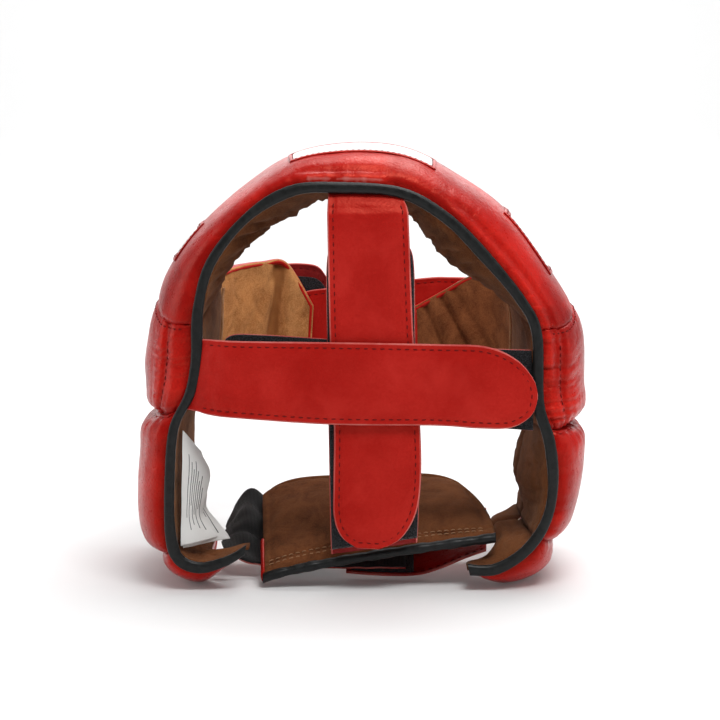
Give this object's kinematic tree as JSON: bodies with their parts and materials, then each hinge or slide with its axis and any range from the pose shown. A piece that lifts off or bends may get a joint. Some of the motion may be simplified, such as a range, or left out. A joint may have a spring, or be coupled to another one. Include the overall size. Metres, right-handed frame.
{
  "type": "boxing headgear",
  "caption": "Padded open-face boxing headgear in red leather with suede lining, crossed crown straps, a rear pad and closure, jaw flaps and a chin strap, lying on its back.",
  "frame": {"origin": "centre of the bounding box at its lowest point, where the headgear lies on its back", "axes": "+X across the head, to the right seen from the crown; +Y from the crown to the chin and neck; +Z from the back of the head to the face"},
  "size_m": [0.2394, 0.2261, 0.2335],
  "materials": {
    "leather_red": "smooth grained, semi-gloss",
    "leather_dark": "back of the leather, satin",
    "suede_brown": "napped suede",
    "binding_black": "smooth folded binding",
    "tape_black": "hook and loop pile",
    "elastic_black": "ribbed woven elastic",
    "foam": "soft closed-cell foam",
    "patch_white": "smooth sewn patch",
    "label_white": "woven satin label"
  },
  "bodies": {
    "shell": {"forehead_cover": "leather_red", "forehead_foam": "foam", "forehead_lining": "suede_brown", "left_ear_cover": "leather_red", "left_ear_foam": "foam", "left_ear_lining": "suede_brown", "right_ear_cover": "leather_red", "right_ear_foam": "foam", "right_ear_lining": "suede_brown", "left_wing_cover": "leather_red", "left_wing_foam": "foam", "left_wing_lining": "suede_brown", "right_wing_cover": "leather_red", "right_wing_foam": "foam", "right_wing_lining": "suede_brown", "left_corner_cover": "leather_red", "left_corner_foam": "foam", "left_corner_lining": "suede_brown", "right_corner_cover": "leather_red", "right_corner_foam": "foam", "right_corner_lining": "suede_brown", "crown_binding": "binding_black", "forehead_patch": "patch_white", "left_temple_patch": "patch_white", "right_temple_patch": "patch_white", "left_jaw_cover": "leather_red", "left_jaw_foam": "foam", "left_jaw_lining": "suede_brown", "right_jaw_cover": "leather_red", "right_jaw_foam": "foam", "right_jaw_lining": "suede_brown", "rear_elastic": "elastic_black", "rear_elastic_backing": "leather_red", "rear_elastic_loop": "tape_black", "care_label": "label_white"},
    "cross_strap": {"cross_strap_leather": "leather_red", "cross_strap_hook": "tape_black"},
    "front_strap": {"front_strap_leather": "leather_red", "front_strap_hook": "tape_black"},
    "cross_loop": {"cross_loop_leather": "leather_red", "cross_loop_tape": "tape_black"},
    "rear_pad": {"front_loop_leather": "leather_dark", "front_loop_tape": "tape_black", "rear_pad_cover": "leather_red", "rear_pad_foam": "foam", "rear_pad_lining": "suede_brown", "rear_pad_binding": "binding_black"},
    "rear_band": {"rear_band_leather": "leather_red", "rear_band_hook": "tape_black"},
    "chin_tab": {"chin_tab_leather": "leather_dark", "chin_tab_loop": "tape_black"},
    "chin_strap": {"chin_strap_leather": "leather_red", "chin_strap_hook": "tape_black"}
  },
  "joints": [
    {"name": "cross_strap_peel", "type": "hinge", "parent": "shell", "child": "cross_strap", "pos_m": [-0.08095, -0.1079, 0.1132], "axis": [-0.1554, 0, -0.9879], "range_deg": [0, 150]},
    {"name": "front_strap_peel", "type": "hinge", "parent": "shell", "child": "front_strap", "pos_m": [0.003, -0.1049, 0.2018], "axis": [-1, 0, 0], "range_deg": [0, 75]},
    {"name": "cross_loop_fold", "type": "hinge", "parent": "shell", "child": "cross_loop", "pos_m": [0.0866, -0.1006, 0.105], "axis": [0, 0, -1], "range_deg": [0, 25]},
    {"name": "rear_pad_slide", "type": "slide", "parent": "shell", "child": "rear_pad", "axis": [0, 0, 1], "range_m": [0, 0.009]},
    {"name": "rear_band_peel", "type": "hinge", "parent": "shell", "child": "rear_band", "pos_m": [0.0675, -0.0715, 0.0158], "axis": [-0.0347, -0.9199, -0.3906], "range_deg": [0, 70]},
    {"name": "chin_tab_peel", "type": "hinge", "parent": "shell", "child": "chin_tab", "pos_m": [-0.066, 0.1011, 0.137], "axis": [0, 0, 1], "range_deg": [0, 120]},
    {"name": "chin_strap_fold", "type": "hinge", "parent": "shell", "child": "chin_strap", "pos_m": [0.066, 0.1017, 0.131], "axis": [0, 0, -1], "range_deg": [0, 18]}
  ],
  "couplings": [
    {"joint": "front_strap_peel", "follows": "cross_strap_peel", "ratio": 0.5},
    {"joint": "chin_strap_fold", "follows": "chin_tab_peel", "ratio": 0.15}
  ]
}
